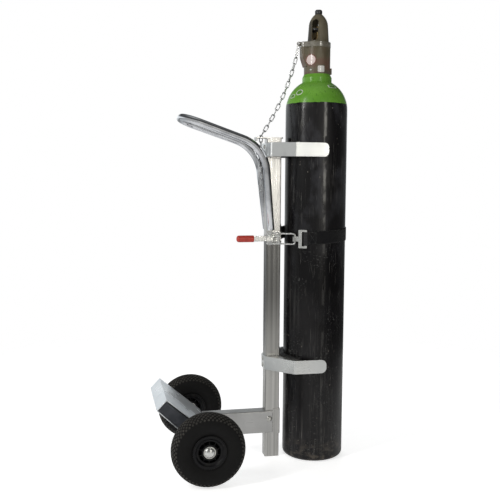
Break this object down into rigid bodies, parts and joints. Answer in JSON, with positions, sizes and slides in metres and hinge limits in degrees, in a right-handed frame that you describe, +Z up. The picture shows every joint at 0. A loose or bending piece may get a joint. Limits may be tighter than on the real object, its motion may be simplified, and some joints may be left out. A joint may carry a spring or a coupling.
{
  "type": "oxy acetylene torch cart",
  "caption": "Two-wheeled welding gas trolley: galvanised post and axle box, chrome push handle, webbing strap clamp, safety chain and one black gas bottle with a plastic valve guard.",
  "frame": {"origin": "centre of the whole trolley's footprint box, on the floor", "axes": "+X forward from the axle and handle to the gas bottle, +Y away from the strap clamp's side, +Z up"},
  "size_m": [0.729, 0.596, 1.6725],
  "materials": {
    "galvanised_frame": "satin galvanised",
    "galvanised_box": "matte galvanised sheet",
    "bright_zinc": "bright zinc plate",
    "chrome_tube": "polished",
    "steel_fasteners": "zinc plated",
    "rubber_saddle": "satin",
    "rubber_tyre": "satin",
    "wheel_hub": "satin",
    "cap_plastic": "satin",
    "red_vinyl": "satin",
    "strap_webbing": "woven",
    "bottle_paint": "gloss with scratches",
    "shoulder_paint": "gloss",
    "guard_plastic": "gloss",
    "valve_brass": "satin",
    "valve_black": "satin"
  },
  "bodies": {
    "cart_frame": {"post_tube": "galvanised_frame", "post_foot_plug": "cap_plastic", "arm_tube": "galvanised_frame", "arm_collar": "galvanised_frame", "arm_bolts": "steel_fasteners", "axle": "steel_fasteners", "axle_box": "galvanised_box", "axle_box_end_caps": "cap_plastic", "axle_sleeves": "galvanised_box", "axle_washers": "steel_fasteners", "hub_caps": "bright_zinc", "handle_tube": "chrome_tube", "handle_gussets": "galvanised_frame", "keyhole_plate": "galvanised_frame", "upper_bracket": "galvanised_frame", "lower_bracket": "galvanised_frame", "lower_bracket_flanges": "galvanised_frame", "bracket_bolts": "steel_fasteners", "upper_saddle": "rubber_saddle", "lower_saddle": "rubber_saddle", "clamp_base": "bright_zinc", "clamp_base_screws": "bright_zinc", "clamp_pivot_pin": "bright_zinc", "catch_plate": "bright_zinc", "strap": "strap_webbing", "strap_end_loops": "strap_webbing", "strap_anchor_plate": "bright_zinc", "strap_anchor_bolts": "steel_fasteners", "chain_taut": "bright_zinc", "chain_tail": "bright_zinc", "snap_hook": "bright_zinc", "bottle_shell": "bottle_paint", "neck_ring": "shoulder_paint", "guard_collar": "guard_plastic", "guard_cup": "guard_plastic", "guard_hood": "guard_plastic", "guard_eye": "guard_plastic", "guard_knob": "valve_black", "guard_screws": "steel_fasteners", "valve_body": "valve_brass", "packing_nut": "valve_brass", "outlet_cap": "valve_black"},
    "near_wheel": {"near_tyre": "rubber_tyre", "near_rim": "wheel_hub", "near_bearings": "steel_fasteners", "near_bearing_spacer": "steel_fasteners"},
    "far_wheel": {"far_tyre": "rubber_tyre", "far_rim": "wheel_hub", "far_bearings": "steel_fasteners", "far_bearing_spacer": "steel_fasteners"},
    "clamp_handle": {"clamp_lever": "bright_zinc", "lever_grip": "red_vinyl"},
    "clamp_hook": {"u_bolt": "bright_zinc", "trunnion": "bright_zinc", "u_bolt_nuts": "bright_zinc"},
    "hook_gate": {"snap_hook_gate": "bright_zinc"},
    "valve_wheel": {"handwheel": "valve_black", "valve_spindle": "valve_brass"}
  },
  "joints": [
    {"name": "near_wheel_spin", "type": "hinge", "parent": "cart_frame", "child": "near_wheel", "pos_m": [-0.1968, -0.2525, 0.13], "axis": [0, 1, 0], "continuous": true},
    {"name": "far_wheel_spin", "type": "hinge", "parent": "cart_frame", "child": "far_wheel", "pos_m": [-0.1968, 0.2525, 0.13], "axis": [0, 1, 0], "continuous": true},
    {"name": "clamp_lever_swing", "type": "hinge", "parent": "cart_frame", "child": "clamp_handle", "pos_m": [0.0924, -0.057, 0.836], "axis": [0, 0, 1], "range_deg": [0, 120]},
    {"name": "clamp_hook_swing", "type": "hinge", "parent": "clamp_handle", "child": "clamp_hook", "pos_m": [0.06359, -0.03713, 0.836], "axis": [0, 0, 1], "range_deg": [-120, 0]},
    {"name": "hook_gate_swing", "type": "hinge", "parent": "cart_frame", "child": "hook_gate", "pos_m": [0.17265, 0.00517, 1.5098], "axis": [0.7526, -0.6428, -0.143], "range_deg": [0, 15], "stiffness_Nm_per_rad": 0.05, "springref_deg": -11.46},
    {"name": "valve_wheel_turn", "type": "hinge", "parent": "cart_frame", "child": "valve_wheel", "pos_m": [0.2468, 0, 1.6], "axis": [0, 0, 1], "range_deg": [0, 720]}
  ],
  "couplings": [
    {"joint": "clamp_hook_swing", "follows": "clamp_lever_swing", "ratio": -1}
  ]
}
